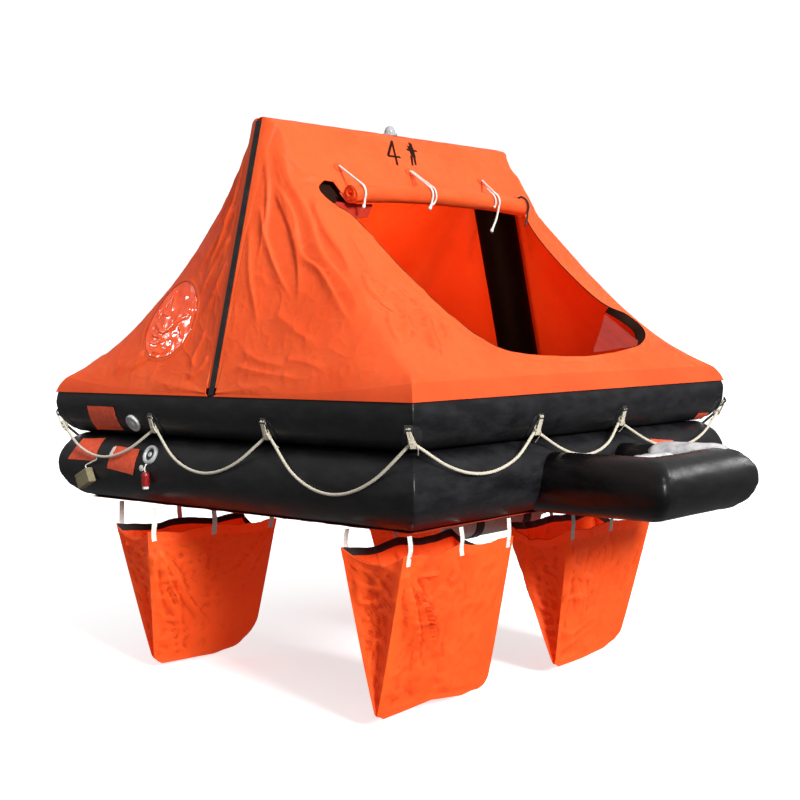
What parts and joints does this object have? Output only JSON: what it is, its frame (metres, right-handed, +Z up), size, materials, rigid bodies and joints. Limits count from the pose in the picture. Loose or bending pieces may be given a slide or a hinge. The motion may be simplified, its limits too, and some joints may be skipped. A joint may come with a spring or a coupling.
{
  "type": "inflatable life raft",
  "caption": "Square inflatable life raft with stacked buoyancy tubes, ridge tent canopy with rolled door, boarding platform, lifeline and hanging ballast bags.",
  "frame": {"origin": "plan centre of the raft at its light waterline", "axes": "+Z up, +X along the canopy's ridge, the doorway and the boarding platform face -Y"},
  "size_m": [1.7969, 2.2075, 1.9023],
  "materials": {
    "tube_rubber": "satin black coated fabric",
    "canopy_fabric": "coated orange canopy fabric",
    "bag_fabric": "thin coated orange fabric",
    "floor_fabric": "coated red-orange floor fabric",
    "window_film": "clear wrinkled film",
    "rope": "laid beige rope",
    "white_cord": "white braided cord",
    "pad_fabric": "pale coated fabric",
    "valve_plastic": "moulded grey plastic",
    "cylinder_paint": "grey paint",
    "valve_brass": "plain brass",
    "ring_steel": "stainless steel",
    "red_plastic": "red moulded plastic",
    "battery_case": "tan moulded case"
  },
  "bodies": {
    "root": {"lower_tube": "tube_rubber", "upper_tube": "tube_rubber", "floor_sheet": "floor_fabric", "canopy_arch": "tube_rubber", "canopy_front": "canopy_fabric", "canopy_back": "canopy_fabric", "canopy_window": "window_film", "arch_strip_left": "tube_rubber", "arch_strip_right": "tube_rubber", "door_roll": "canopy_fabric", "door_tie_1": "white_cord", "door_tie_2": "white_cord", "door_tie_3": "white_cord", "platform_tube": "tube_rubber", "platform_web": "tube_rubber", "platform_pad": "pad_fabric", "ballast_bag_1": "bag_fabric", "ballast_bag_2": "bag_fabric", "ballast_bag_3": "bag_fabric", "ballast_bag_4": "bag_fabric", "gas_cylinder": "cylinder_paint", "cylinder_valve": "valve_brass", "cylinder_band_1": "tube_rubber", "cylinder_band_2": "tube_rubber", "relief_valve_upper": "valve_plastic", "relief_valve_lower": "valve_plastic", "inflation_valve": "valve_plastic", "canopy_light": "valve_plastic", "light_battery": "battery_case", "battery_cord": "rope", "plug_tag": "red_plastic", "plug_cord": "white_cord", "lifeline": "rope", "lifeline_tab_01": "tube_rubber", "lifeline_tab_02": "tube_rubber", "lifeline_tab_03": "tube_rubber", "lifeline_tab_04": "tube_rubber", "lifeline_tab_05": "tube_rubber", "lifeline_tab_06": "tube_rubber", "lifeline_tab_07": "tube_rubber", "lifeline_tab_08": "tube_rubber", "lifeline_tab_09": "tube_rubber", "lifeline_tab_10": "tube_rubber", "lifeline_tab_11": "tube_rubber", "lifeline_tab_12": "tube_rubber", "towing_patch": "tube_rubber", "towing_ring": "ring_steel"}
  },
  "joints": []
}
